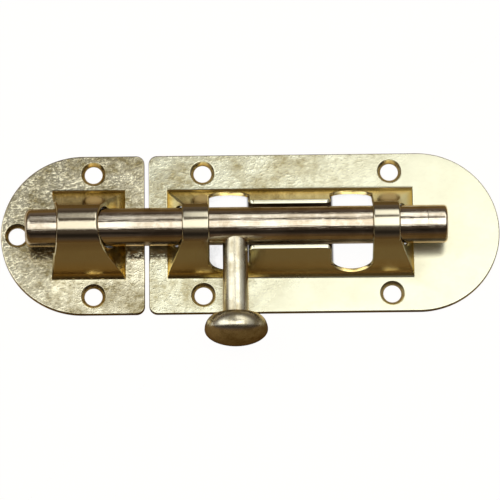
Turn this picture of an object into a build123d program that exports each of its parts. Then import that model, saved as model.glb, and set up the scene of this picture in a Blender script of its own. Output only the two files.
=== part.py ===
from build123d import *
from math import asin, atan2, cos, sin, tan
import os

# Surface door bolt of pressed brass sheet: a back plate with a raised cage that guides
# a round bolt, the bolt, its mushroom handle, and the keeper plate for the door frame.
#
# Frame: the origin is the centre of the back plate's four screws, on the plate's back.
# +X runs from the keeper to the plate's round end, +Y is across, +Z is away from the door.

os.makedirs("parts", exist_ok=True)

# driving dimensions, in millimetres

# flat sheet
sheet = 1.2
plate_width = 35.0
corner_radius = 1.8
edge_round = 0.25

# screw holes
hole_diameter = 3.8
countersink_diameter = 5.3
countersink_angle = 90
screw_pitch_x = 40.0
screw_pitch_y = 27.0

# back plate, measured from its screws
front_margin = 11.5
rear_margin = 23.2

# keeper plate, measured from its straight edge or its round tip
keeper_gap = 0.9
keeper_length = 30.6
keeper_screw_margin = 10.9
keeper_tip_hole_margin = 3.5

# bolt
bolt_diameter = 8.0
bolt_length = 89.0
bolt_nose = 44.2
nose_round = 1.3
tail_round = 0.7

# passage of the bolt
axis_height = 6.7
bolt_clearance = 0.4
pressed_wall = 0.7
end_wall = 0.9
cage_width = 20.0
cage_knee = 6.05

# cage of the back plate
cage_middle = -1.4
cage_length = 52.4
cage_lean = 3.25
loop_width = 5.75
rail_rise = 1.1
rail_corner = 1.2

# notches that the handle drops into
front_notch_width = 8.25
rear_notch_width = 8.65
notch_floor = 0.75
notch_arc_rise = 1.6
notch_corner = 2.1

# cage of the keeper plate
keeper_cage_margin = 4.05
keeper_cage_length = 15.65
keeper_cage_lean = 3.8
keeper_loop_lean = 1.9
keeper_mouth_lean = 1.55

# handle: radii and distances from the bolt's axis along the handle
stem_diameter = 5.3
handle_play = 0.2
handle_seat = 0.1
knob_diameter = 13.3
knob_neck = 19.3
knob_rim_start = 22.4
knob_rim = 0.9
knob_length = 25.8
knob_ledge = 1.2
knob_neck_round = 0.4
knob_edge_round = 0.6

# sizes that follow
bolt_radius = bolt_diameter / 2
barrel_bore = bolt_radius + bolt_clearance
barrel_radius = barrel_bore + pressed_wall
crest = axis_height + barrel_radius
rail_top = axis_height + rail_rise
leg_slope = asin(barrel_radius / cage_knee)
foot_slope = atan2(axis_height - sheet, cage_width / 2 - cage_knee)
stem_radius = stem_diameter / 2
knob_radius = knob_diameter / 2
plate_front = -screw_pitch_x / 2 - front_margin
plate_rear = screw_pitch_x / 2 + rear_margin
keeper_edge = plate_front - keeper_gap
keeper_tip = keeper_edge - keeper_length
keeper_screw_x = keeper_edge - keeper_screw_margin
keeper_tip_hole_x = keeper_tip + keeper_tip_hole_margin
loop_outer = cage_length / 2 - cage_lean
loop_inner = loop_outer - loop_width
front_rail_end = cage_middle - loop_inner + front_notch_width
rear_rail_end = cage_middle + loop_inner - rear_notch_width
handle_x = front_rail_end - handle_play - stem_radius
bolt_start = handle_x - bolt_nose


def sheet_outline(straight_x, round_x):
    """Flat plate with a straight edge at one end and a half round at the other."""
    toward_round = 1 if round_x > straight_x else -1
    half = plate_width / 2
    round_center = round_x - toward_round * half
    with BuildSketch(Plane.XY) as outline:
        with BuildLine():
            ThreePointArc((round_center, half), (round_x, 0), (round_center, -half))
            Polyline((round_center, -half), (straight_x, -half), (straight_x, half), (round_center, half))
        make_face()
        straight_corners = outline.vertices().filter_by(lambda v: abs(v.X - straight_x) < 0.01)
        fillet(straight_corners, corner_radius)
    extrude(outline.sketch, amount=sheet)


def bolt_circle(x, radius):
    """Circle about the bolt's axis, in the plane across it at x."""
    with BuildSketch(Plane.YZ.offset(x)) as circle:
        with Locations((0, axis_height)):
            Circle(radius)
    return circle.sketch


def across_cage(inside, foot_height):
    """Half of a cage's cross-section: foot, knee beside the bolt's axis, start of the barrel."""
    inward = inside / (1 + cos(leg_slope - foot_slope))
    knee = (
        cage_knee - inward * (sin(leg_slope) + sin(foot_slope)),
        axis_height - inward * (cos(leg_slope) + cos(foot_slope)),
    )
    foot = (knee[0] + (knee[1] - foot_height) / tan(foot_slope), foot_height)
    radius = barrel_radius - inside
    touch = (radius * sin(leg_slope), axis_height + radius * cos(leg_slope))
    return foot, knee, touch


def cage_form(inside, foot_height, side_view):
    """Barrel on two bent legs, drawn along the bolt and cut to an outline seen from the side."""
    foot, knee, touch = across_cage(inside, foot_height)
    far_leg = [(-y, z) for y, z in (touch, knee, foot)]
    low = min(x for x, z in side_view)
    high = max(x for x, z in side_view)
    with BuildSketch(Plane.YZ.offset(low)) as across:
        with BuildLine():
            Polyline(*far_leg, foot, knee, touch)
            ThreePointArc(touch, (0, crest - inside), far_leg[0])
        make_face()
    with BuildSketch(Plane.XZ) as side:
        with BuildLine():
            Polyline(*side_view, close=True)
        make_face()
    with BuildPart() as form:
        extrude(across.sketch, amount=high - low)
        extrude(side.sketch, amount=2 * cage_width, both=True, mode=Mode.INTERSECT)
    return form.part


def hollow_view(low, high, slope_low, slope_high):
    """Side view of a cage's hollow, between two ends that lean inward as they rise."""
    below = sheet * slope_low
    above = sheet * slope_high
    rise = crest - sheet
    return [
        (low + end_wall - below, 0),
        (low + end_wall + rise * slope_low, crest),
        (high - end_wall - rise * slope_high, crest),
        (high - end_wall + above, 0),
    ]


def screw_holes(places):
    """Countersunk holes, open to the front of the sheet."""
    with Locations(*[(x, y, sheet) for x, y in places]):
        CounterSinkHole(
            hole_diameter / 2,
            countersink_diameter / 2,
            counter_sink_angle=countersink_angle,
        )


def round_outline(part):
    """Soft edge along the front outline of a plate."""
    front = part.faces().filter_by(Plane.XY).filter_by(lambda face: abs(face.center().Z - sheet) < 0.01)
    fillet(front.sort_by(SortBy.AREA)[-1].outer_wire().edges(), edge_round)


# back plate with its cage

barrel_foot = across_cage(0, 0)[2][1]
cage_low = cage_middle - cage_length / 2
cage_high = cage_middle + cage_length / 2
back_cage_view = [
    (cage_low, sheet),
    (cage_middle - loop_outer, barrel_foot),
    (cage_middle - loop_outer, crest),
    (cage_middle + loop_outer, crest),
    (cage_middle + loop_outer, barrel_foot),
    (cage_high, sheet),
]
end_slope = cage_lean / (barrel_foot - sheet)
back_cage = cage_form(0, sheet, back_cage_view)
back_hollow = cage_form(pressed_wall, 0, hollow_view(cage_low, cage_high, end_slope, end_slope))

with BuildPart() as back_plate:
    sheet_outline(plate_front, plate_rear)
    round_outline(back_plate)
    add(back_cage)
    add(back_hollow, mode=Mode.SUBTRACT)
    extrude(bolt_circle(cage_low, barrel_bore), amount=cage_length, mode=Mode.SUBTRACT)
    # the slot between the loops and the two notches, cut through both side walls
    floor_z = sheet + notch_floor
    corner_z = floor_z + notch_arc_rise
    above = crest + sheet
    front_loop = cage_middle - loop_inner
    rear_loop = cage_middle + loop_inner
    with BuildSketch(Plane.XZ) as side_cut:
        with BuildLine():
            for loop_x, rail_x in ((front_loop, front_rail_end), (rear_loop, rear_rail_end)):
                middle = ((loop_x + rail_x) / 2, floor_z)
                ThreePointArc((rail_x, corner_z), middle, (loop_x, corner_z))
                Line((loop_x, corner_z), (loop_x, above))
                Line((rail_x, corner_z), (rail_x, rail_top))
            Line((front_rail_end, rail_top), (rear_rail_end, rail_top))
            Line((front_loop, above), (rear_loop, above))
        make_face()
        at_rail = side_cut.vertices().filter_by(lambda v: abs(v.Y - rail_top) < 0.01)
        fillet(at_rail, rail_corner)
        at_floor = side_cut.vertices().filter_by(lambda v: abs(v.Y - corner_z) < 0.01)
        fillet(at_floor, notch_corner)
    extrude(amount=cage_width / 2, both=True, mode=Mode.SUBTRACT)
    screw_holes(
        [(sx * screw_pitch_x / 2, sy * screw_pitch_y / 2) for sx in (-1, 1) for sy in (-1, 1)]
    )
back_plate.part.label = "back_plate"
export_step(back_plate.part, "parts/back_plate.step")

# keeper plate, whose cage is open towards the bolt's nose

keeper_cage_high = keeper_edge - keeper_cage_margin
keeper_cage_low = keeper_cage_high - keeper_cage_length
keeper_cage_view = [
    (keeper_cage_low, sheet),
    (keeper_cage_low + keeper_mouth_lean, crest),
    (keeper_cage_high - keeper_cage_lean - keeper_loop_lean, crest),
    (keeper_cage_high - keeper_cage_lean, axis_height),
    (keeper_cage_high, sheet),
]
mouth_slope = keeper_mouth_lean / (crest - sheet)
keeper_slope = keeper_cage_lean / (axis_height - sheet)
keeper_cage = cage_form(0, sheet, keeper_cage_view)
keeper_view = hollow_view(keeper_cage_low, keeper_cage_high, mouth_slope, keeper_slope)
keeper_hollow = cage_form(pressed_wall, 0, keeper_view)
# the mouth: the sheet is sheared off here, so the hollow runs out through this end
mouth_end = keeper_cage_low + keeper_mouth_lean + end_wall
mouth_view = [
    (keeper_cage_low, sheet),
    (keeper_cage_low, crest),
    (mouth_end, crest),
    (mouth_end, sheet),
]
keeper_mouth = cage_form(pressed_wall, sheet, mouth_view)

with BuildPart() as keeper_plate:
    sheet_outline(keeper_edge, keeper_tip)
    round_outline(keeper_plate)
    add(keeper_cage)
    add(keeper_hollow, mode=Mode.SUBTRACT)
    add(keeper_mouth, mode=Mode.SUBTRACT)
    extrude(
        bolt_circle(keeper_cage_low, barrel_bore),
        amount=keeper_cage_length,
        mode=Mode.SUBTRACT,
    )
    screw_holes(
        [
            (keeper_screw_x, screw_pitch_y / 2),
            (keeper_screw_x, -screw_pitch_y / 2),
            (keeper_tip_hole_x, 0),
        ]
    )
keeper_plate.part.label = "keeper_plate"
export_step(keeper_plate.part, "parts/keeper_plate.step")

# round bolt: rounded nose towards the keeper, smaller rounding at the tail

with BuildPart() as bolt:
    extrude(bolt_circle(bolt_start, bolt_radius), amount=bolt_length)
    fillet(bolt.faces().filter_by(Axis.X).sort_by(Axis.X)[0].edges(), nose_round)
    fillet(bolt.faces().filter_by(Axis.X).sort_by(Axis.X)[-1].edges(), tail_round)
bolt.part.label = "bolt"
export_step(bolt.part, "parts/bolt.step")

# handle: turned stem and mushroom knob, square to the bolt and flat to the door

handle_plane = Plane(origin=(handle_x, 0, axis_height), x_dir=(1, 0, 0), z_dir=(0, 0, -1))

with BuildPart() as handle:
    with BuildSketch(handle_plane) as profile:
        with BuildLine():
            neck = (stem_radius, knob_neck)
            shoulder = (stem_radius + knob_ledge, knob_neck)
            rim_start = (knob_radius, knob_rim_start)
            rim_end = (knob_radius, knob_rim_start + knob_rim)
            Polyline((0, knob_length), (0, 0), (stem_radius, 0), neck, shoulder)
            TangentArc(rim_start, shoulder, tangent=(0, -1))
            Line(rim_start, rim_end)
            TangentArc((0, knob_length), rim_end, tangent=(1, 0))
        make_face()
        at_neck = profile.vertices().sort_by_distance(handle_plane.from_local_coords(neck))[0]
        fillet(at_neck, knob_neck_round)
        at_rim = profile.vertices().sort_by_distance(handle_plane.from_local_coords(rim_end))[0]
        fillet(at_rim, knob_edge_round)
    revolve(axis=Axis((handle_x, 0, axis_height), (0, -1, 0)))
    # the stem's root is hollowed to sit on the round bolt
    seat = bolt_circle(handle_x - knob_radius, bolt_radius + handle_seat)
    extrude(seat, amount=knob_diameter, mode=Mode.SUBTRACT)
handle.part.label = "handle"
export_step(handle.part, "parts/handle.step")
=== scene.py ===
# %% [markdown]
# # A surface door bolt of pressed and plated brass
#
# The real object is four pieces: a back plate with a raised cage, a round bolt with a
# mushroom handle, and a keeper plate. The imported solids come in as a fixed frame, in metres,
# with +X towards the round end, +Y across and +Z off the door. Their sizes stay as they are,
# and everything that is made here is fitted to them.

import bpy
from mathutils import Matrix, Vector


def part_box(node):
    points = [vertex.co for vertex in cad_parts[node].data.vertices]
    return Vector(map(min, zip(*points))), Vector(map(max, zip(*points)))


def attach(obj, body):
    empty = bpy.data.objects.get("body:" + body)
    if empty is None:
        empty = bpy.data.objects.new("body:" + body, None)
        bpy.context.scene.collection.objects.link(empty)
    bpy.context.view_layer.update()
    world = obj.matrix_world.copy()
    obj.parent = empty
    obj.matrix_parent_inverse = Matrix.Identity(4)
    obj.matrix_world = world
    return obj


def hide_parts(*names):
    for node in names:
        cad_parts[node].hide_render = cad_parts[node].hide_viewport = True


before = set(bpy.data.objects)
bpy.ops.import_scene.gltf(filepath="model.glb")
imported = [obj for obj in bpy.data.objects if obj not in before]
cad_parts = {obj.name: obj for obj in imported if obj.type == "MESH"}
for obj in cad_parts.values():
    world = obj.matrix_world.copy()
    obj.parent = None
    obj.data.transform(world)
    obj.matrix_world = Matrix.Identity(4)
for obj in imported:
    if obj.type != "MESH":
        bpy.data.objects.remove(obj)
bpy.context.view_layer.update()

import bmesh
import bpy
from math import asin, cos, pi, radians, sin, tan
from mathutils import Matrix, Vector

mm = 0.001
scene = bpy.context.scene

# %% [markdown]
# ## The camera
#
# The bolt was photographed from far above with a long lens, tipped about 16 degrees towards
# the handle's side, so the loops' near walls show and the far ones are foreshortened. A wide
# lens from close by would bend the long plates and show the knob's top, so a lens of about
# 220 mm is used from 0.65 m. Its aim and its small roll were worked out from the screw holes.

# %% Camera
view_tilt = radians(15.98)
view_turn = radians(-2.14)
view_roll = radians(-1.418)
view_distance = 0.650
view_centre = Vector((-0.01003, -0.0034, 0))
view_lens = 219.84
film_width = 36

towards = Vector((sin(view_tilt) * sin(view_turn), -sin(view_tilt) * cos(view_turn), cos(view_tilt)))
level = Vector((cos(view_turn), sin(view_turn), 0))
upright = towards.cross(level)
side = cos(view_roll) * level - sin(view_roll) * upright
top = sin(view_roll) * level + cos(view_roll) * upright

camera_data = bpy.data.cameras.new("camera")
camera_data.sensor_width = film_width
camera_data.lens = view_lens
camera = bpy.data.objects.new("camera", camera_data)
scene.collection.objects.link(camera)
place = view_centre + view_distance * towards
camera.matrix_world = Matrix((
    (side.x, top.x, towards.x, place.x),
    (side.y, top.y, towards.y, place.y),
    (side.z, top.z, towards.z, place.z),
    (0, 0, 0, 1),
))
scene.camera = camera
scene.view_settings.view_transform = "Standard"
print("camera stands at", [round(v, 3) for v in place], "m")

# %% [markdown]
# ## Small helpers for colours and nodes
#
# Colours are written as the hex values that a screen shows, and one function turns them
# linear, because the shader works with light and not with screen values. A second function
# adds one node with its settings and links, so a finish reads as a short list.

# %% Colour and node helpers
def tint(hex_value):
    """Linear colour of an sRGB hex value."""
    channels = [int(hex_value[i:i + 2], 16) / 255 for i in (1, 3, 5)]
    linear = [c / 12.92 if c <= 0.04045 else ((c + 0.055) / 1.055) ** 2.4 for c in channels]
    return (*linear, 1)


def node(tree, kind, settings=None, links=None, **attributes):
    """One node, with its settings and links by socket, and other attributes by name. A link
    comes from a socket, or from a node, which stands for its first output."""
    new = tree.nodes.new(kind)
    for name, value in attributes.items():
        setattr(new, name, value)
    for name, value in (settings or {}).items():
        new.inputs[name].default_value = value
    for name, source in (links or {}).items():
        start = source.outputs[0] if isinstance(source, bpy.types.Node) else source
        tree.links.new(start, new.inputs[name])
    return new


# %% [markdown]
# ## Tarnish on polished brass plating
#
# The pieces are pressed or turned, polished, and plated with a thin layer of pale brass. One
# even colour would look like gold paint, because thin olive tarnish gathers on real plating in
# soft clouds and small specks. Both could be painted by hand, but noise at their real size
# covers all sides alike. They become one number, which later drives both colour and gloss.

# %% Tarnish
# a noise's scale is its waves in a metre: 1000 over the size of one in millimetres
cloud_size, speck_size = 7.0, 0.8


def tarnish(tree, place, drawn, specks):
    """How stained the plating is: wide soft clouds, and specks of a given strength."""
    cloud = node(tree, "ShaderNodeTexNoise", {"Scale": 1000 / cloud_size, "Detail": 4.0, "Roughness": 0.65},
                 {"Vector": place})
    speck = node(tree, "ShaderNodeTexNoise", {"Scale": 1000 / speck_size, "Detail": 3.0, "Roughness": 0.7},
                 {"Vector": drawn})
    cloudy = node(tree, "ShaderNodeMapRange", {"From Min": 0.60, "From Max": 0.38},
                  {"Value": cloud.outputs["Fac"]})
    dotted = node(tree, "ShaderNodeMapRange", {"From Min": 0.52, "From Max": 0.38, "To Max": specks},
                  {"Value": speck.outputs["Fac"]})
    return node(tree, "ShaderNodeMath", {1: 0.7}, {0: cloudy, 2: dotted},
                operation="MULTIPLY_ADD", use_clamp=True)


# %% [markdown]
# ## Relief of the plating
#
# Polished sheet is a mirror that is never quite flat. It keeps the press's long waves, the
# plating adds a fine orange peel that breaks reflections into sparkle, and drawing or handling
# leaves marks. They are hundredths of a millimetre high, far too fine for the mesh, so three
# bump nodes in a row bend the light instead.

# %% Relief
def relief(tree, place, drawn, waves, peel, marks, strength):
    """The bent normal of the plating. Waves and peel are each (size, height) in millimetres, and
    marks are (size, height, level of the noise above which they stand out). Strength, where
    there is one, weakens the peel and the marks."""
    wave = node(tree, "ShaderNodeTexNoise", {"Scale": 1000 / waves[0], "Detail": 1.0}, {"Vector": place})
    grain = node(tree, "ShaderNodeTexNoise", {"Scale": 1000 / peel[0], "Detail": 2.0, "Roughness": 0.55},
                 {"Vector": place})
    mark = node(tree, "ShaderNodeTexNoise", {"Scale": 1000 / marks[0], "Detail": 3.0, "Roughness": 0.6},
                {"Vector": drawn})
    raised = node(tree, "ShaderNodeMapRange", {"From Min": marks[2], "From Max": marks[2] + 0.14},
                  {"Value": mark.outputs["Fac"]})
    coarse = node(tree, "ShaderNodeBump", {"Distance": waves[1] * mm}, {"Height": wave.outputs["Fac"]})
    fine = node(tree, "ShaderNodeBump", {"Distance": peel[1] * mm},
                {"Height": grain.outputs["Fac"], "Normal": coarse.outputs["Normal"]})
    marked = node(tree, "ShaderNodeBump", {"Distance": marks[1] * mm},
                  {"Height": raised, "Normal": fine.outputs["Normal"]})
    if strength is not None:
        for bump in (fine, marked):
            tree.links.new(strength.outputs[0], bump.inputs["Strength"])
    return marked.outputs["Normal"]


# %% [markdown]
# ## Wear, painted reflection and painted shade of the pressed plates
#
# A pressed plate isn't the same all over. Its flat sheet keeps its texture while the raised
# cage is drawn smooth, and the texture wears off towards the round end. Hands rub the top of
# the cage dull. Round its foot a golden colour is painted on the low walls, a painted
# reflection of brass in brass, and below the plate's face brown is painted as painted shade
# in the countersinks, holes and rim. A painted mask would need an image, but every one of
# these has a place that the height or the length along the plate can say.

# %% Plate wear, painted reflection and painted shade
# how much of the texture is left where the sheet kept it, and where it is drawn or rubbed smooth
kept, worn_off = 1.0, 0.12
# the wear's edge runs aslant: so far along the plate for each millimetre across it
wear_slant = -0.9
# heights in millimetres where each begins and is full, and how much of it there is
rubbed_crest = (7.5, 9.0, 0.6)
# painted reflection: golden on the cage's low walls, none at 5.5 mm and full at 1.8 mm
painted_reflection_foot = (5.5, 1.8, 0.7)
above_face = (1.22, 1.4, 1.0)
# painted shade: brown below the plate's face, in the countersinks, holes, hollow and round the rim
painted_shade_low = (1.18, 1.0, 0.7)


def plate_wear(tree, place, fade):
    """How flat a plate is at each point, how much of its texture is left there, and how much
    rougher its worn end is. Fade is where the wear begins and ends, in millimetres."""
    at = node(tree, "ShaderNodeSeparateXYZ", links={0: place})
    flat = node(tree, "ShaderNodeMapRange", {"From Min": 3.0 * mm, "From Max": 1.4 * mm, "To Min": worn_off},
                {"Value": at.outputs["Z"]})
    aslant = node(tree, "ShaderNodeMath", {1: wear_slant}, {0: at.outputs["Y"], 2: at.outputs["X"]},
                  operation="MULTIPLY_ADD")
    left = node(tree, "ShaderNodeMapRange",
                {"From Min": fade[0] * mm, "From Max": fade[1] * mm, "To Min": kept, "To Max": worn_off},
                {"Value": aslant})
    texture = node(tree, "ShaderNodeMath", links={0: flat, 1: left}, operation="MULTIPLY")
    dulled = node(tree, "ShaderNodeMapRange", {"From Min": kept, "From Max": worn_off, "To Max": 0.13},
                  {"Value": left})
    return flat, texture, dulled


def plate_tones(tree, place, colour):
    """The plate's colour, duller on top of the cage, with a painted golden reflection round its foot and
    painted brown shade in its holes and round its rim.
    """
    height = node(tree, "ShaderNodeSeparateXYZ", links={0: place}).outputs["Z"]
    amounts = []
    for start, full, most in (rubbed_crest, painted_reflection_foot, above_face, painted_shade_low):
        amounts.append(node(tree, "ShaderNodeMapRange",
                            {"From Min": start * mm, "From Max": full * mm, "To Max": most},
                            {"Value": height}))
    rubbed, painted_reflection_amount, above, painted_shade_amount = amounts
    # a painted golden reflection on the cage's low walls, kept off the plate's face
    golden = node(tree, "ShaderNodeMath", links={0: painted_reflection_amount, 1: above}, operation="MULTIPLY")
    # the brown is painted shade below the plate's face, and the golden is a painted reflection
    for hex_value, amount in (("#C4B7A2", rubbed), ("#F5CF58", golden), ("#94793F", painted_shade_amount)):
        colour = node(tree, "ShaderNodeMix", {7: tint(hex_value)}, {0: amount, 6: colour},
                      data_type="RGBA").outputs[2]
    return colour


# %% [markdown]
# ## The four finishes
#
# All four pieces have the same plating over different work: pressed plates, a drawn bar whose
# fine lines run along it, and a turned handle whose lines run round it. So one function makes
# the metal, and each piece gives it its own colours, polish and sizes. The bare metal's mirror
# colour and roughness start from polished brass, and are paler because the plating is thin.

# %% Brass finishes
def brass(name, pale, tarnished, polish, waves, peel, marks, turn=(0, 0, 0), squeeze=(1, 1, 1), specks=0.2,
          fade=None):
    """Polished brass plating between a pale and a tarnished colour. Turn and squeeze draw the
    marks out into lines, and fade is for a pressed plate, which wears and carries a painted
    reflection and painted shade."""
    material = bpy.data.materials.new(name)
    material.use_nodes = True
    tree = material.node_tree
    tree.nodes.clear()
    place = node(tree, "ShaderNodeTexCoord").outputs["Object"]
    drawn = node(tree, "ShaderNodeMapping", {"Rotation": turn, "Scale": squeeze},
                 {"Vector": place}).outputs["Vector"]
    stained = tarnish(tree, place, drawn, specks)
    texture = None
    if fade:
        flat, texture, dulled = plate_wear(tree, place, fade)
        stained = node(tree, "ShaderNodeMath", links={0: stained, 1: texture}, operation="MULTIPLY")
    colour = node(tree, "ShaderNodeMix", {6: tint(pale), 7: tint(tarnished)}, {0: stained},
                  data_type="RGBA").outputs[2]
    gloss = node(tree, "ShaderNodeMapRange", {"To Min": polish, "To Max": polish * 1.6}, {"Value": stained})
    if fade:
        # the plate's tones add a painted golden reflection and painted brown shade
        colour = plate_tones(tree, place, colour)
        gloss = node(tree, "ShaderNodeMath", links={0: dulled, 1: flat, 2: gloss}, operation="MULTIPLY_ADD")
    metal = node(tree, "ShaderNodeBsdfPrincipled", {"Metallic": 1.0, "Specular Tint": tint("#C9AF8E")},
                 {"Base Color": colour, "Roughness": gloss,
                  "Normal": relief(tree, place, drawn, waves, peel, marks, texture)})
    node(tree, "ShaderNodeOutputMaterial", links={"Surface": metal.outputs["BSDF"]})
    print("finish", name, "has", len(tree.nodes), "nodes")
    return material


pressed = {"waves": (6.0, 0.030), "turn": (0, 0, radians(-55)), "squeeze": (0.6, 1, 1)}
plate_finish = brass("pressed_brass_plating", "#EFF0D8", "#A79C72", 0.15, peel=(0.5, 0.008),
                     marks=(0.45, 0.011, 0.53), specks=0.3, fade=(-14, 12), **pressed)
keeper_finish = brass("pressed_brass_plating_keeper", "#EEEAD0", "#8F8460", 0.13, peel=(0.45, 0.008),
                      marks=(0.45, 0.020, 0.53), specks=0.4, fade=(100, 200), **pressed)
bolt_finish = brass("drawn_brass_plating_bar", "#EBE3D3", "#B3A48C", 0.08, waves=(9.0, 0.015),
                    peel=(0.6, 0.002), marks=(0.30, 0.006, 0.43), squeeze=(0.03, 1, 1))
handle_finish = brass("turned_brass_plating_handle", "#F4F1DF", "#A1905F", 0.23, waves=(4.0, 0.015),
                      peel=(0.6, 0.006), marks=(0.4, 0.003, 0.43), squeeze=(1, 0.06, 1))

# %% [markdown]
# ## Working by hand, in code
#
# Each piece below is made as it would be at the screen: a primitive, then edit mode and its
# operators on what is picked. An operator acts on all that is selected, so a piece is first
# taken alone. These helpers take a piece, open it for editing, pick parts of it by their
# place, and set its own place into its mesh.

# %% Modelling helpers
def take(piece):
    """Only this piece is selected, and it is the active one."""
    bpy.ops.object.select_all(action="DESELECT")
    piece.select_set(True)
    bpy.context.view_layer.objects.active = piece


def open_piece(piece):
    """Only this piece is selected, and it is open in edit mode."""
    take(piece)
    bpy.ops.object.mode_set(mode="EDIT")


def pick(piece, kind, test):
    """In edit mode, select only the vertices, edges or faces that pass a test."""
    bpy.ops.mesh.select_mode(type=kind)
    bpy.ops.mesh.select_all(action="DESELECT")
    mesh = bmesh.from_edit_mesh(piece.data)
    parts = {"VERT": mesh.verts, "EDGE": mesh.edges, "FACE": mesh.faces}[kind]
    found = [part for part in parts if test(part)]
    for part in found:
        part.select_set(True)
    bmesh.update_edit_mesh(piece.data)
    return len(found)


def set_place():
    """The place, turn and scale of the selected piece go into its mesh."""
    bpy.ops.object.transform_apply(location=True, rotation=True, scale=True)


def close_piece(piece, name=None):
    """Back to object mode, with the place of the piece set into its mesh."""
    bpy.ops.object.mode_set(mode="OBJECT")
    set_place()
    if name:
        piece.name = name
    return piece


# %% [markdown]
# ## Modifiers that become part of the mesh
#
# Joining and cutting are boolean modifiers, and the broken edges are a bevel modifier. They
# could stay live, but each step here picks edges that the step before has made, so every
# modifier is applied at once. The exact solver is slower than the fast one, and it alone is
# safe where faces meet at small angles.

# %% Modifier helpers
bevel_angle, shade_angle = radians(38), radians(32)


def apply_modifier(piece, name, kind, **settings):
    """A modifier with its settings, made part of the mesh of the piece that was taken."""
    modifier = piece.modifiers.new(name, kind)
    for setting, value in settings.items():
        setattr(modifier, setting, value)
    bpy.ops.object.modifier_apply(modifier=modifier.name)


def combine(piece, tool, operation):
    """Join or cut a piece with a second one, which is used up."""
    take(piece)
    apply_modifier(piece, "combine", "BOOLEAN", operation=operation, solver="EXACT", object=tool)
    bpy.data.objects.remove(tool)


def steady_shading(piece):
    """Smooth shading across the round parts, with the large flat faces ruling it."""
    bpy.ops.object.shade_smooth_by_angle(angle=shade_angle)
    apply_modifier(piece, "steady", "WEIGHTED_NORMAL", keep_sharp=True)


def finish_edges(piece, width):
    """Break the sharp edges, smooth the rest, and let the flat faces rule the shading."""
    take(piece)
    apply_modifier(piece, "soften", "BEVEL", width=width * mm, segments=3, use_clamp_overlap=False,
                   limit_method="ANGLE", angle_limit=bevel_angle, miter_outer="MITER_ARC")
    steady_shading(piece)
    print(piece.name, "has", len(piece.data.polygons), "faces")


def block(low, high):
    """A box between two corners, in millimetres, as the start of a piece or a cutter."""
    bpy.ops.object.select_all(action="DESELECT")
    centre = [(a + b) / 2 * mm for a, b in zip(low, high)]
    bpy.ops.mesh.primitive_cube_add(size=1, location=centre)
    piece = bpy.context.object
    piece.scale = [(b - a) * mm for a, b in zip(low, high)]
    set_place()
    return piece


# %% [markdown]
# ## The section of a pressed cage
#
# Seen along the bolt, a cage is a barrel on two straight legs, which bend out to the plate.
# The sheet keeps its thickness when it is pressed, so the hollow has the same section, one
# wall smaller. The places down a leg could be measured one by one, but here they are worked
# out from the barrel, the knee and the foot, so the outer and inner forms stay parallel.

# %% Cage section
# sizes in millimetres, across the bolt and above the door
sheet, wall = 1.2, 0.7
axis_height, barrel_radius = 6.7, 5.1
knee_half, foot_half = 6.05, 10.0
crest = axis_height + barrel_radius
leg_slope = asin(barrel_radius / knee_half)
foot_slope, foot_end_slope = radians(58), radians(25)
foot_bend = (((foot_half - knee_half) * sin(foot_slope) - (axis_height - sheet) * cos(foot_slope))
             / (1 - cos(foot_slope - foot_end_slope)))
bend_steps = 8


def cage_section(inside, foot_height):
    """Start of the barrel and places down a leg, as half width and height in millimetres."""
    inward = inside / (1 + cos(leg_slope - foot_slope))
    knee = (knee_half - inward * (sin(leg_slope) + sin(foot_slope)),
            axis_height - inward * (cos(leg_slope) + cos(foot_slope)))
    radius = barrel_radius - inside
    touch = (radius * sin(leg_slope), axis_height + radius * cos(leg_slope))
    if inside:
        return touch, [knee, (knee[0] + (knee[1] - foot_height) / tan(foot_slope), foot_height)]
    leg = [knee]
    for i in range(bend_steps + 1):
        slope = foot_slope + (foot_end_slope - foot_slope) * i / bend_steps
        leg.append((foot_half + foot_bend * (sin(foot_end_slope) - sin(slope)),
                    sheet + foot_bend * (cos(foot_end_slope) - cos(slope))))
    return touch, leg + [(foot_half, foot_height)]


print("the cage's foot bends with a radius of", round(foot_bend, 1), "mm")

# %% [markdown]
# ## The side view of a cage
#
# Seen from the side, the ends of a cage lean first and then stand upright. They could be cut
# with tilted planes, but a slab that grows upward in steps, narrower each time, holds the
# whole outline in a few numbers. Its width across the bolt only has to pass the cage's foot.

# %% Side slab
slab_width = 30


def side_slab(steps):
    """A slab across the cage that grows upward in steps of height, low end and high end."""
    height, low, high = steps[0]
    bpy.ops.object.select_all(action="DESELECT")
    bpy.ops.mesh.primitive_plane_add(size=1, location=((low + high) / 2 * mm, 0, height * mm))
    slab = bpy.context.object
    slab.scale = ((high - low) * mm, slab_width * mm, 1)
    set_place()
    open_piece(slab)
    bpy.ops.mesh.select_all(action="SELECT")
    for new_height, new_low, new_high in steps[1:]:
        bpy.ops.mesh.extrude_region_move(
            TRANSFORM_OT_translate={"value": ((new_low - low) * mm, 0, (new_height - height) * mm)})
        wider = (new_high - new_low) / (high - low)
        bpy.ops.transform.resize(value=(wider, 1, 1), center_override=(new_low * mm, 0, 0))
        height, low, high = new_height, new_low, new_high
    bpy.ops.mesh.select_all(action="SELECT")
    bpy.ops.mesh.normals_make_consistent(inside=False)
    return close_piece(slab)


# %% [markdown]
# ## A cage from its two views
#
# What the section, drawn out along the bolt, and the side slab share is the cage. The section
# could be lofted from curves, but a circle does it by hand: its lower part is deleted, its two
# open ends are extruded down to the knee and the foot and spread, and the whole is filled and
# drawn out. The same function makes the outer form and the hollow.

# %% Cage form
barrel_sides = 180


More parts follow.
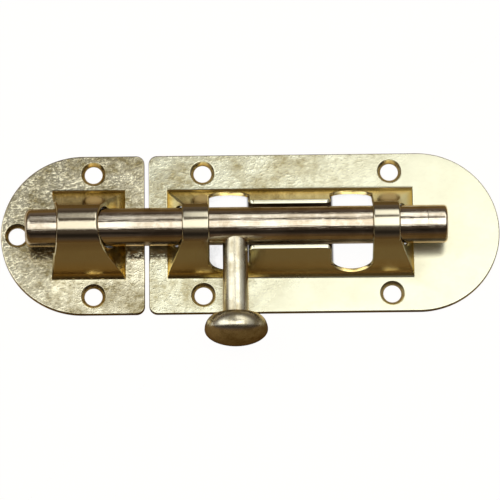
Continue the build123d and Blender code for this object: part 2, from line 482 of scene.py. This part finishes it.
def cage(inside, foot_height, steps):
    """A cage's form, with its side view given in steps of height, low end and high end."""
    touch, leg = cage_section(inside, foot_height)
    low = min(step[1] for step in steps) - 1
    high = max(step[2] for step in steps) + 1
    bpy.ops.object.select_all(action="DESELECT")
    bpy.ops.mesh.primitive_circle_add(vertices=barrel_sides, radius=(barrel_radius - inside) * mm,
                                      location=(low * mm, 0, axis_height * mm), rotation=(0, pi / 2, 0))
    form = bpy.context.object
    set_place()
    open_piece(form)
    pick(form, "VERT", lambda v: v.co.z < (touch[1] - 0.001) * mm)
    bpy.ops.mesh.delete(type="VERT")
    mesh = bmesh.from_edit_mesh(form.data)
    lowest = min(v.co.z for v in mesh.verts)
    half = max(v.co.y for v in mesh.verts)
    pick(form, "VERT", lambda v: v.co.z < lowest + 1e-7)
    for width, height in leg:
        bpy.ops.mesh.extrude_vertices_move(
            TRANSFORM_OT_translate={"value": (0, 0, height * mm - lowest)})
        bpy.ops.transform.resize(value=(1, width * mm / half, 1), center_override=(0, 0, 0))
        lowest, half = height * mm, width * mm
    bpy.ops.mesh.select_all(action="SELECT")
    bpy.ops.mesh.edge_face_add()
    bpy.ops.mesh.extrude_region_move(TRANSFORM_OT_translate={"value": ((high - low) * mm, 0, 0)})
    bpy.ops.mesh.select_all(action="SELECT")
    bpy.ops.mesh.normals_make_consistent(inside=False)
    close_piece(form)
    combine(form, side_slab(steps), "INTERSECT")
    return form


# %% [markdown]
# ## The plates' outlines
#
# Both plates are punched from flat sheet, straight at one end and fully round at the other.
# The outline could be a curve that is given a thickness, but a box whose upright edges are
# bevelled by half its width gives the round end in one step. The punch also draws the upper
# edge down a little all round, which is the thin bright line that follows the outline.

# %% Flat plate
plate_half = 17.5
corner_round = 1.8
drawn_down = 0.3
# in millimetres: a full round stops a hair short of the half width, and what is left is merged
hair, merge_distance = 0.001, 0.01


def flat_plate(straight_x, round_x):
    """Punched plate between a straight end and a round end, with its upper edge drawn down."""
    low, high = min(straight_x, round_x), max(straight_x, round_x)
    plate = block((low, -plate_half, 0), (high, plate_half, sheet))
    open_piece(plate)
    for end, radius, steps in ((straight_x, corner_round, 10), (round_x, plate_half - hair, 56)):
        pick(plate, "EDGE", lambda e: abs(e.verts[0].co.z - e.verts[1].co.z) > 0.5 * mm
             and all(abs(v.co.x - end * mm) < 1e-6 for v in e.verts))
        bpy.ops.mesh.bevel(offset=radius * mm, segments=steps, affect="EDGES", clamp_overlap=False)
    bpy.ops.mesh.select_all(action="SELECT")
    bpy.ops.mesh.remove_doubles(threshold=merge_distance * mm)
    pick(plate, "EDGE", lambda e: min(v.co.z for v in e.verts) > (sheet - 0.01) * mm)
    bpy.ops.mesh.bevel(offset=drawn_down * mm, segments=3, affect="EDGES")
    return close_piece(plate)


# %% [markdown]
# ## The fold at the cage's foot
#
# Sheet can't be pressed to a sharp inner corner, so the cage's ends rise from the plate in a
# small round fold. Along its sides the legs bend out already, and the line where they meet
# the flat sheet stays crisp. A bevel modifier would round them all, so the edges are picked
# by their place: those of the sides are marked sharp, and only those of the ends are rounded.

# %% Foot fold
foot_fold = 0.4
# how near to the cage's outline an edge counts as lying on it, in millimetres
nearly = 0.1


def soften_foot(piece, low, high):
    """Round the fold where the ends of a cage rise from its plate, and keep its sides crisp."""
    def at_foot(e, sides):
        middle = (e.verts[0].co + e.verts[1].co) / 2 / mm
        flat = all(abs(v.co.z / mm - sheet) < 0.01 for v in e.verts)
        inside = low - nearly < middle.x < high + nearly and abs(middle.y) < foot_half + nearly
        on_end = abs(middle.x - low) < nearly or abs(middle.x - high) < nearly
        on_side = abs(abs(middle.y) - foot_half) < nearly
        return flat and inside and (on_side if sides else on_end)

    open_piece(piece)
    # joining can leave two corners in one place, and the tiny edge between them spoils a bevel
    pick(piece, "VERT", lambda v: abs(v.co.z / mm - sheet) < merge_distance)
    bpy.ops.mesh.remove_doubles(threshold=hair * mm)
    side_edges = pick(piece, "EDGE", lambda e: at_foot(e, True))
    bpy.ops.mesh.mark_sharp()
    end_edges = pick(piece, "EDGE", lambda e: at_foot(e, False))
    bpy.ops.mesh.bevel(offset=foot_fold * mm, segments=4, affect="EDGES", loop_slide=True)
    close_piece(piece)
    print(piece.name, "has", side_edges, "crisp and", end_edges, "rounded edges at the cage's foot")


# %% [markdown]
# ## Back plate
#
# The long plate and its cage are one sheet, pressed up from below. The cage's form could be
# made hollow at once, but its folds are rounded while they are still simple edges, so the
# solid form is joined to the flat plate first, and hollowed and cut only then.

# %% Back plate
low_corner, high_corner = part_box("back_plate")
plate_low, plate_high = low_corner.x / mm, high_corner.x / mm
# along the bolt, in millimetres: the middle of the cage, and half of the cage and of its top
cage_middle, cage_reach, loop_reach = -1.4, 26.2, 22.95
cage_low, cage_high = cage_middle - cage_reach, cage_middle + cage_reach
loop_low, loop_high = cage_middle - loop_reach, cage_middle + loop_reach
barrel_foot = cage_section(0, 0)[0][1]
lean = (loop_low - cage_low) / (barrel_foot - sheet)
# how far a raised form starts inside its sheet, and how far forms and cutters reach past an end
rooted, past = 0.4, 1

back_plate = flat_plate(plate_low, plate_high)
back_plate.name = "back_plate_sheet"
raised = cage(0, sheet - rooted, (
    (sheet - rooted, cage_low - rooted * lean, cage_high + rooted * lean),
    (barrel_foot, loop_low, loop_high),
    (crest + past, loop_low, loop_high),
))
combine(back_plate, raised, "UNION")
soften_foot(back_plate, cage_low, cage_high)

# %% [markdown]
# ## The hollow of the cage
#
# A pressed sheet is open from behind, and through the slot its hollow shows. A solidify
# modifier would give it one thickness all over, but the drawn loops are thinner than the ends,
# and those are thinner than the flat sheet. So the hollow is a cutter: the same cage, one wall
# smaller, which starts below the plate and leans with the ends.

# %% Hollow of the back plate
end_wall = 0.9
cut_start = -0.5
below = (sheet - cut_start) * lean
rise = (crest - sheet) * lean
hollow = cage(wall, cut_start, (
    (cut_start, cage_low + end_wall - below, cage_high - end_wall + below),
    (crest, cage_low + end_wall + rise, cage_high - end_wall - rise),
))
combine(back_plate, hollow, "DIFFERENCE")
print("the ends of the back plate's hollow lean", round(lean, 2), "mm for each mm of height")

# %% [markdown]
# ## The slot and its notches
#
# The handle travels in a slot over the bolt, and drops to either side into a notch at each
# end. On the real sheet one punch cuts it all. Here the slot is a block, and a notch is an
# upright slab whose lower edges are bevelled to a half round and which is then stretched to
# the notch's width. The joined cutter is bevelled once more where the rails' corners are round.

# %% Slot and notches
# along the bolt, in millimetres: half of the slot, and the widths of its two notches
slot_reach, front_notch, rear_notch = 17.2, 8.25, 8.65
slot_low, slot_high = cage_middle - slot_reach, cage_middle + slot_reach
rail_low, rail_high = slot_low + front_notch, slot_high - rear_notch
rail_top = axis_height + 1.1
notch_floor = sheet + 0.75
notch_round, rail_round = 2.5, 1.2
# half of a cutter across the bolt, and how far the slot's block keeps inside the notches' ends
cutter_half, inset = 12, 1


def runs_across(edge):
    """Whether an edge runs across the bolt."""
    return abs(edge.verts[0].co.y - edge.verts[1].co.y) > 1 * mm


def notch_cutter(low, high):
    """Upright slab across the cage with a half-round bottom, stretched to the notch's width."""
    slab = block((-notch_round, -cutter_half, notch_floor), (notch_round, cutter_half, crest + past))
    open_piece(slab)
    pick(slab, "EDGE", lambda e: all(v.co.z < (notch_floor + 0.01) * mm for v in e.verts)
         and runs_across(e))
    bpy.ops.mesh.bevel(offset=(notch_round - hair) * mm, segments=24, affect="EDGES", clamp_overlap=False)
    bpy.ops.mesh.select_all(action="SELECT")
    bpy.ops.mesh.remove_doubles(threshold=merge_distance * mm)
    close_piece(slab)
    slab.scale.x = (high - low) / 2 / notch_round
    slab.location.x = (low + high) / 2 * mm
    set_place()
    return slab


slot = block((slot_low + inset, -cutter_half, rail_top), (slot_high - inset, cutter_half, crest + past))
combine(slot, notch_cutter(slot_low, rail_low), "UNION")
combine(slot, notch_cutter(rail_high, slot_high), "UNION")
open_piece(slot)
pick(slot, "EDGE", lambda e: all(abs(v.co.z - rail_top * mm) < 1e-6 for v in e.verts) and runs_across(e))
bpy.ops.mesh.bevel(offset=rail_round * mm, segments=8, affect="EDGES")
close_piece(slot)
combine(back_plate, slot, "DIFFERENCE")
print("each rail between two notches is", round(rail_high - rail_low, 1), "mm long")

# %% [markdown]
# ## The bolt's passage and the screw holes
#
# The loops let the bolt through with some play, and wood screws sink level with the sheet.
# A drill is a cylinder for both, and a countersink is its end face drawn out and widened at
# 45 degrees. The holes of a plate could be cut one after another, but each cut would slice
# the flat faces again, so all their cutters are joined and cut in one go.

# %% Bore and screw holes
# a hair wider than the hollow, and with other corners, so that no two faces lie in one plane
bore_radius, bore_sides = barrel_radius - wall + 0.006, 176
hole_radius = 1.9
# heights at which a drill starts and at which its countersink starts and ends
drill_start, sink_start, sink_end = -1.0, 0.45, 1.9


def bore(piece, low, high):
    """Round passage for the bolt."""
    bpy.ops.object.select_all(action="DESELECT")
    bpy.ops.mesh.primitive_cylinder_add(
        vertices=bore_sides, radius=bore_radius * mm, depth=(high - low) * mm,
        location=((low + high) / 2 * mm, 0, axis_height * mm), rotation=(0, pi / 2, 0))
    drill = bpy.context.object
    set_place()
    combine(piece, drill, "DIFFERENCE")


def screw_holes(piece, places):
    """Drilled holes with countersinks that open to the front, all cut in one go."""
    widening = (hole_radius + sink_end - sink_start) / hole_radius
    cutters = []
    for x, y in places:
        bpy.ops.object.select_all(action="DESELECT")
        bpy.ops.mesh.primitive_cylinder_add(
            vertices=72, radius=hole_radius * mm, depth=(sink_start - drill_start) * mm,
            location=(x * mm, y * mm, (drill_start + sink_start) / 2 * mm))
        cutter = bpy.context.object
        set_place()
        open_piece(cutter)
        pick(cutter, "FACE", lambda f: f.normal.z > 0.9)
        bpy.ops.mesh.extrude_region_move(
            TRANSFORM_OT_translate={"value": (0, 0, (sink_end - sink_start) * mm)})
        bpy.ops.transform.resize(value=(widening, widening, 1), center_override=(x * mm, y * mm, 0))
        cutters.append(close_piece(cutter))
    bpy.ops.object.select_all(action="DESELECT")
    for cutter in cutters:
        cutter.select_set(True)
    bpy.context.view_layer.objects.active = cutters[0]
    bpy.ops.object.join()
    combine(piece, cutters[0], "DIFFERENCE")
    print(piece.name, "has", len(places), "screw holes")


screw_along, screw_across = 20, 13.5
bore(back_plate, cage_low - past, cage_high + past)
screw_holes(back_plate, [(x, y) for x in (-screw_along, screw_along) for y in (-screw_across, screw_across)])

# %% [markdown]
# ## Sheared edges, and the end of the back plate
#
# Where the punch sheared the cage's wall, its edges are rubbed round by polishing and catch a
# bright line. They are rounder than the other edges, so they are picked first: a sheared edge
# lies between a face that looks along the bolt and one that looks outwards. All the other
# edges get a small bevel that is only wide enough to catch light.

# %% Edges of the back plate
sheared_round, broken_edge = 0.42, 0.1


def soften_sheared(piece, width):
    """Round the sheared edges of a cage's wall, where its ends meet its outer side."""
    def sheared(e):
        if len(e.link_faces) != 2 or min(v.co.z for v in e.verts) < (sheet + 0.5) * mm:
            return False
        side_face, end_face = sorted(e.link_faces, key=lambda face: abs(face.normal.x))
        return abs(end_face.normal.x) > 0.85 and abs(side_face.normal.x) < 0.35 and side_face.normal.z > 0.3

    open_piece(piece)
    found = pick(piece, "EDGE", sheared)
    bpy.ops.mesh.bevel(offset=width * mm, segments=3, affect="EDGES", clamp_overlap=False)
    close_piece(piece)
    print(piece.name, "has", found, "sheared edges rounded")


soften_sheared(back_plate, sheared_round)
finish_edges(back_plate, broken_edge)
back_plate.data.materials.clear()
back_plate.data.materials.append(plate_finish)
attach(back_plate, "back_plate")
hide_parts("back_plate")

# %% [markdown]
# ## Keeper plate
#
# The keeper catches the bolt's nose. It is pressed from the same sheet, with a short cage that
# leans far out towards the back plate and is sheared off nearly upright on the other side. It
# could be a copy of one end of the back plate, but its slopes differ, so the same functions
# make it from its own side view.

# %% Keeper plate
low_corner, high_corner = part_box("keeper_plate")
tip, straight = low_corner.x / mm, high_corner.x / mm
# along the bolt, in millimetres: the margin at the straight end, the cage, and its slopes
margin, cage_length = 4.05, 15.65
lower_slope, upper_slope, mouth_slope = 3.8, 1.9, 1.55
mouth, back = straight - margin - cage_length, straight - margin
knee_x, top_x = back - lower_slope, back - lower_slope - upper_slope
mouth_top = mouth + mouth_slope
mouth_lean = (mouth_top - mouth) / (crest - sheet)
back_lean = (back - knee_x) / (axis_height - sheet)
loop_lean = (knee_x - top_x) / (crest - axis_height)

keeper = flat_plate(straight, tip)
keeper.name = "keeper_plate_sheet"
raised = cage(0, sheet - rooted, (
    (sheet - rooted, mouth - rooted * mouth_lean, back + rooted * back_lean),
    (axis_height, mouth + (axis_height - sheet) * mouth_lean, knee_x),
    (crest + past, mouth_top + past * mouth_lean, top_x - past * loop_lean),
))
combine(keeper, raised, "UNION")
soften_foot(keeper, mouth, back)

# %% [markdown]
# ## The keeper's hollow and its open mouth
#
# On the far side, where the bolt's nose comes out, the keeper's cage has no end wall. The
# hollow could be drawn out through it, but it has to lean with the other end, so the wall that
# it leaves is cut away by a second cutter. That one is a hair smaller than the hollow and
# stays a hair off the sheet, because cutters whose faces lie in one plane leave slivers.

# %% Cuts of the keeper plate
hollow = cage(wall, cut_start, (
    (cut_start, mouth + end_wall - (sheet - cut_start) * mouth_lean,
     back - end_wall + (sheet - cut_start) * back_lean),
    (crest, mouth_top + end_wall, back - end_wall - (crest - sheet) * back_lean),
))
combine(keeper, hollow, "DIFFERENCE")
off_hollow, off_sheet, before_mouth = 0.004, 0.02, 2
open_mouth = cage(wall + off_hollow, sheet + off_sheet, (
    (sheet + off_sheet, mouth - before_mouth, mouth_top + end_wall),
    (crest + past, mouth - before_mouth, mouth_top + end_wall),
))
combine(keeper, open_mouth, "DIFFERENCE")
bore(keeper, mouth - past, back + past)

side_screws, tip_screw = straight - 10.9, tip + 3.5
screw_holes(keeper, [(side_screws, screw_across), (side_screws, -screw_across), (tip_screw, 0)])
soften_sheared(keeper, sheared_round)
finish_edges(keeper, broken_edge)
keeper.data.materials.clear()
keeper.data.materials.append(keeper_finish)
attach(keeper, "keeper")
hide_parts("keeper_plate")

# %% [markdown]
# ## Turned pieces
#
# The bolt and its handle come off a lathe. A lathe's cut is a list of stations, each a
# distance along the axis and a radius, so they are made by extruding a disc from station to
# station and scaling it each time. Spinning a profile would give the same, but its seam and
# poles need mending.

# %% Lathe
lathe_sides = 120


def turned(name, stations, start, run, turn):
    """A turned piece along a direction from a start, from stations of distance and radius."""
    direction = Vector(run)
    distance, radius = stations[0]
    bpy.ops.object.select_all(action="DESELECT")
    bpy.ops.mesh.primitive_circle_add(vertices=lathe_sides, radius=radius * mm, fill_type="NGON",
                                      location=[v * mm for v in start], rotation=turn)
    piece = bpy.context.object
    bpy.ops.object.transform_apply(location=False, rotation=True, scale=True)
    bpy.ops.object.transform_apply(location=True, rotation=False, scale=False)
    open_piece(piece)
    bpy.ops.mesh.select_mode(type="FACE")
    bpy.ops.mesh.select_all(action="SELECT")
    bpy.ops.transform.translate(value=direction * distance * mm)
    at = distance
    for distance, new_radius in stations[1:]:
        step = direction * (distance - at) * mm
        bpy.ops.mesh.extrude_region_move(TRANSFORM_OT_translate={"value": step})
        factor = new_radius / radius
        grow = [1 if abs(v) > 0.5 else factor for v in direction]
        middle = [(a + b * distance) * mm for a, b in zip(start, direction)]
        bpy.ops.transform.resize(value=grow, center_override=middle)
        at, radius = distance, new_radius
    bpy.ops.mesh.select_all(action="SELECT")
    bpy.ops.mesh.normals_make_consistent(inside=False)
    close_piece(piece, name)
    steady_shading(piece)
    print(name, "is", round(stations[-1][0] - stations[0][0], 1), "mm long")
    return piece


# %% [markdown]
# ## Bolt
#
# The bolt is cut from drawn bar. Its nose is rounded to find its way into the keeper, its tail
# is only broken, and a fine ring is scored round it near the tail. Each round end could be a
# bevel, but as stations of a quarter circle it belongs to the same cut as the rest, and the
# scored ring is four stations more.

# %% Bolt
bar_radius, nose_round, tail_round = 4.0, 1.3, 0.7
ring_from_tail, ring_radius = 4.3, 3.96


def rounding(at, radius, size, toward, steps=6):
    """Stations of a rounded end, from its face (toward -1) or up to its face (toward 1)."""
    angles = [i / steps * pi / 2 for i in range(steps + 1)]
    if toward > 0:
        return [(at - size + size * sin(a), radius - size + size * cos(a)) for a in angles]
    return [(at + size - size * cos(a), radius - size + size * sin(a)) for a in angles]


low_corner, high_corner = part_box("bolt")
bolt_low, bolt_high = low_corner.x / mm, high_corner.x / mm
bolt_length = bolt_high - bolt_low
ring = bolt_length - ring_from_tail
stations = rounding(0, bar_radius, nose_round, -1)
for offset, radius in ((-0.2, bar_radius), (-0.05, ring_radius), (0.05, ring_radius), (0.2, bar_radius)):
    stations.append((ring + offset, radius))
stations += rounding(bolt_length, bar_radius, tail_round, 1)
bolt = turned("bolt_bar", stations, (bolt_low, 0, axis_height), (1, 0, 0), (0, pi / 2, 0))
bolt.data.materials.append(bolt_finish)
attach(bolt, "bolt")
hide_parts("bolt")

# %% [markdown]
# ## Handle
#
# The handle is a turned stem, fixed square in the bolt, with a small fillet and a mushroom
# knob to push with a finger. The knob could be a squashed sphere, but that is alike on both
# sides, and this one springs from a thick neck and closes in a flat dome. So it is two quarter
# ellipses that meet at the widest place: a nearly round one for the shoulder, and a flat one
# for the dome.

# %% Handle
# distances from the bolt's axis, and radii, in millimetres
stem_start, neck, widest = 2.7, 19.3, 22.55
stem_radius, neck_radius, knob_radius = 2.65, 3.85, 6.65
shoulder_steps, dome_steps = 10, 16

low_corner, high_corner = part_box("handle")
handle_x = (low_corner.x + high_corner.x) / 2 / mm
knob_end = -low_corner.y / mm
stations = [(stem_start, stem_radius), (neck - 0.4, stem_radius), (neck - 0.15, 2.75), (neck, 3.0)]
for i in range(shoulder_steps + 1):
    turn = i / shoulder_steps * radians(90)
    stations.append((widest - (widest - neck) * cos(turn),
                     neck_radius + (knob_radius - neck_radius) * sin(turn)))
# the dome stops a degree short of its pole, so that it ends in a small flat disc
for i in range(1, dome_steps + 1):
    turn = i / dome_steps * radians(89)
    stations.append((widest + (knob_end - widest) * sin(turn), knob_radius * cos(turn)))
handle = turned("handle_turned", stations, (handle_x, 0, axis_height), (0, -1, 0), (pi / 2, 0, 0))
handle.data.materials.append(handle_finish)
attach(handle, "handle")
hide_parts("handle")

# %% [markdown]
# ## Floor: what the metal mirrors
#
# The bolt lies on its back on a plain table. The photograph shows its polished walls dark and
# brown, so the metal must mirror more than a white table: white paper under the plates,
# yellowed a little beside the cage, and a warm dark table round them. Cards of each colour
# could lie there, but they would show, so it is one plane whose colour follows the distance
# from the bolt's axis.

# %% Floor colours
bpy.ops.object.select_all(action="DESELECT")
bpy.ops.mesh.primitive_plane_add(size=6)
floor = bpy.context.object
floor.name = "floor"
paper = bpy.data.materials.new("white_paper_on_a_table")
paper.use_nodes = True
tree = paper.node_tree
tree.nodes.clear()
spot = node(tree, "ShaderNodeTexCoord").outputs["Object"]
axes = node(tree, "ShaderNodeSeparateXYZ", links={0: spot})
aside = node(tree, "ShaderNodeMath", links={0: axes.outputs["Y"]}, operation="ABSOLUTE")
# distances from the bolt's axis, in millimetres, in which the next colour takes over
to_tinted, to_table = (10.5, 11.5), (15.5, 18.0)
tinted, table = [node(tree, "ShaderNodeMapRange", {"From Min": start * mm, "From Max": full * mm},
                      {"Value": aside}) for start, full in (to_tinted, to_table)]
under = node(tree, "ShaderNodeMix", {6: tint("#F4F3F0"), 7: tint("#E4D8BC")}, {0: tinted},
             data_type="RGBA").outputs[2]
tone = node(tree, "ShaderNodeMix", {7: tint("#7C6540")}, {0: table, 6: under}, data_type="RGBA").outputs[2]
matt = node(tree, "ShaderNodeBsdfDiffuse", links={"Color": tone})
print("the mirrored table has", len(tree.nodes), "nodes")

# %% [markdown]
# ## Floor: what the camera sees
#
# To the camera the table is pure white, apart from the shadow close to the metal. A lit sheet
# of paper would be grey in places, so the white is the floor's own glow, held back where
# ambient occlusion finds little sky. Under the middle of the cage, where the slot lets the
# eye in, it is held back altogether, as the photograph is dark there: a painted shadow, cut
# to a box round the cage. A dark brown paint under the glow takes a little of the room's
# light, so no shadow is quite black.

# %% Floor as seen
dark = node(tree, "ShaderNodeBsdfDiffuse", {"Color": tint("#4A3C2C")})
shadow_reach = 20 * mm
sky = node(tree, "ShaderNodeAmbientOcclusion", {"Distance": shadow_reach})
shade = node(tree, "ShaderNodeMapRange", {"From Min": 0.03, "From Max": 0.065, "To Max": 0.97},
             {"Value": sky.outputs["AO"]})
along = node(tree, "ShaderNodeMath", {1: -cage_middle * mm}, {0: axes.outputs["X"]}, operation="ADD")
beside = node(tree, "ShaderNodeMath", links={0: along}, operation="ABSOLUTE")
# distances from the middle of the cage, along and across, in which the painted shadow ends and the glow
# comes back
painted_shadow_end_along = node(tree, "ShaderNodeMapRange", {"From Min": 8.8 * mm, "From Max": 9.3 * mm},
                   {"Value": beside})
painted_shadow_end_across = node(tree, "ShaderNodeMapRange", {"From Min": 11 * mm, "From Max": 13 * mm}, {"Value": aside})
outside_painted_shadow = node(tree, "ShaderNodeMath", links={0: painted_shadow_end_along, 1: painted_shadow_end_across}, operation="MAXIMUM")
held = node(tree, "ShaderNodeMath", links={0: shade, 1: outside_painted_shadow}, operation="MULTIPLY")
glow = node(tree, "ShaderNodeEmission", {"Color": (1, 1, 1, 1)}, {"Strength": held})
seen_floor = node(tree, "ShaderNodeAddShader", links={0: glow, 1: dark})
path = node(tree, "ShaderNodeLightPath")
chooser = node(tree, "ShaderNodeMixShader", links={0: path.outputs["Is Camera Ray"], 1: matt, 2: seen_floor})
node(tree, "ShaderNodeOutputMaterial", links={"Surface": chooser})
floor.data.materials.append(paper)
print("finish", paper.name, "has", len(tree.nodes), "nodes")

# %% [markdown]
# ## Studio light by direction
#
# Polished metal shows its room, so the room is half of the finish. It could be built from
# lamps and cards, but their edges matter more than their power here, so it is drawn on the
# world by direction. Two angles place each part: one across the bolt and one along it. Both
# are 0 straight above, and reach 90 degrees at the horizon.

# %% Room directions
world = bpy.data.worlds.new("studio")
scene.world = world
world.use_nodes = True
tree = world.node_tree
tree.nodes.clear()
direction = node(tree, "ShaderNodeTexCoord")
axes = node(tree, "ShaderNodeSeparateXYZ", links={0: direction.outputs["Generated"]})
angles = {}
for name, axis in (("across", "Y"), ("along", "X")):
    leaning = node(tree, "ShaderNodeMath", links={0: axes.outputs[axis], 1: axes.outputs["Z"]},
                   operation="ARCTAN2")
    angles[name] = node(tree, "ShaderNodeMath", links={0: leaning}, operation="DEGREES")
print("the room is placed by its angles", " and ".join(angles), "the bolt")

# %% [markdown]
# ## How bright each part of the room is
#
# Four lists hold the room. Along the bolt they say how far the overhead panel reaches across,
# how bright it is, and how bright the second panel behind it is. The last one goes across the
# bolt and says how bright the rest of the room is, which makes the dark bands. A painted
# picture of a room would do the same, but a list can be read and changed by hand. Each list
# becomes a colour ramp from -90 to 90 degrees, with its levels as parts of the highest one.

# %% Room levels
# degrees along the bolt: how far the overhead panel reaches across, in degrees
panel_edge = {-90: 55, -60: 45, -34: 30, -14: 19.5, -5.5: 13.6, -3.2: 14.2, -2.0: 15.8, -1.1: 17.2,
              -0.6: 18.2, 1: 18.0, 3: 18.6, 6: 19.5, 25: 21.5, 31: 45, 90: 55}
# degrees along the bolt: how bright the overhead panel and the second panel are
panel_light = {-90: 0.1, -72: 0.2, -62: 1.0, -45: 1.5, -8: 1.5, -4.5: 1.4, -1: 1.6, 1: 1.45, 2.7: 2.1,
               24: 2.1, 38: 0.6, 50: 0.35, 60: 0.2, 78: 0.1, 90: 0.05}
second_light = {-90: 0.2, -60: 0.4, -2.5: 0.3, -0.9: 0.6, -0.3: 1.6, 28: 1.6, 45: 0.5, 62: 0.15, 90: 0.1}
# degrees across the bolt: how bright the dim room is
dim_light = {-90: 0.19, -82: 0.17, -70: 0.13, -60: 0.04, -50: 0.03, -38: 0.12, 56: 0.10, 70: 0.13,
             80: 0.22, 90: 0.24}

curves = []
for levels, most, way in ((panel_edge, 60, "along"), (panel_light, 2.2, "along"),
                          (second_light, 2, "along"), (dim_light, 1, "across")):
    spread = node(tree, "ShaderNodeMapRange", {"From Min": -90, "From Max": 90}, {"Value": angles[way]})
    curve = node(tree, "ShaderNodeValToRGB", links={"Fac": spread})
    stops = curve.color_ramp.elements
    stops.remove(stops[1])
    for count, (angle, level) in enumerate(levels.items()):
        stop = stops.new((angle + 90) / 180) if count else stops[0]
        stop.color = (level / most, level / most, level / most, 1)
    curves.append(node(tree, "ShaderNodeMath", {1: most}, {0: curve.outputs["Color"]}, operation="MULTIPLY"))
edge, panel_level, second_level, dim_level = curves
print("the panel reaches", panel_edge[1], "degrees across, above the middle")

# %% [markdown]
# ## Panels with soft ends
#
# The end of a panel is the edge of its reflection, so how soft it is matters as much as where
# it is. An area lamp would end sharply all round. Here each end is a smooth step between two
# angles: narrow where the photograph's reflections stop at once, and wide where they fade out.
# What the panels leave is the brown room, more golden low down on the handle's side. The
# camera itself sees white.

# %% Room shader
past_edge = node(tree, "ShaderNodeMath", links={0: angles["across"], 1: edge}, operation="SUBTRACT")
ends = []
for value, outer, inner in ((angles["across"], -26, -17), (past_edge, 1.3, -1.3),
                            (angles["across"], 27, 35), (angles["across"], 64, 50)):
    ends.append(node(tree, "ShaderNodeMapRange", {"From Min": outer, "From Max": inner}, {"Value": value},
                     interpolation_type="SMOOTHSTEP"))
lights = []
for first, last, level in ((ends[0], ends[1], panel_level), (ends[2], ends[3], second_level)):
    within = node(tree, "ShaderNodeMath", links={0: first, 1: last}, operation="MULTIPLY")
    lights.append(node(tree, "ShaderNodeMath", links={0: within, 1: level}, operation="MULTIPLY"))
lit = node(tree, "ShaderNodeMath", links={0: lights[0], 1: lights[1]}, operation="ADD")
panels = node(tree, "ShaderNodeBackground", {"Color": tint("#FFFEF9")}, {"Strength": lit})
low_down = node(tree, "ShaderNodeMapRange", {"From Min": -68, "From Max": -84}, {"Value": angles["across"]})
brown = node(tree, "ShaderNodeMix", {6: tint("#C9B29E"), 7: tint("#D3A468")}, {0: low_down},
             data_type="RGBA")
dim_room = node(tree, "ShaderNodeBackground", links={"Color": brown.outputs[2], "Strength": dim_level})
room = node(tree, "ShaderNodeAddShader", links={0: panels, 1: dim_room})
backdrop = node(tree, "ShaderNodeBackground", {"Color": (1, 1, 1, 1), "Strength": 1.0})
path = node(tree, "ShaderNodeLightPath")
shown = node(tree, "ShaderNodeMixShader", links={0: path.outputs["Is Camera Ray"], 1: room, 2: backdrop})
node(tree, "ShaderNodeOutputWorld", links={"Surface": shown})
print("the room has", len(lights), "panels and", len(tree.nodes), "nodes")
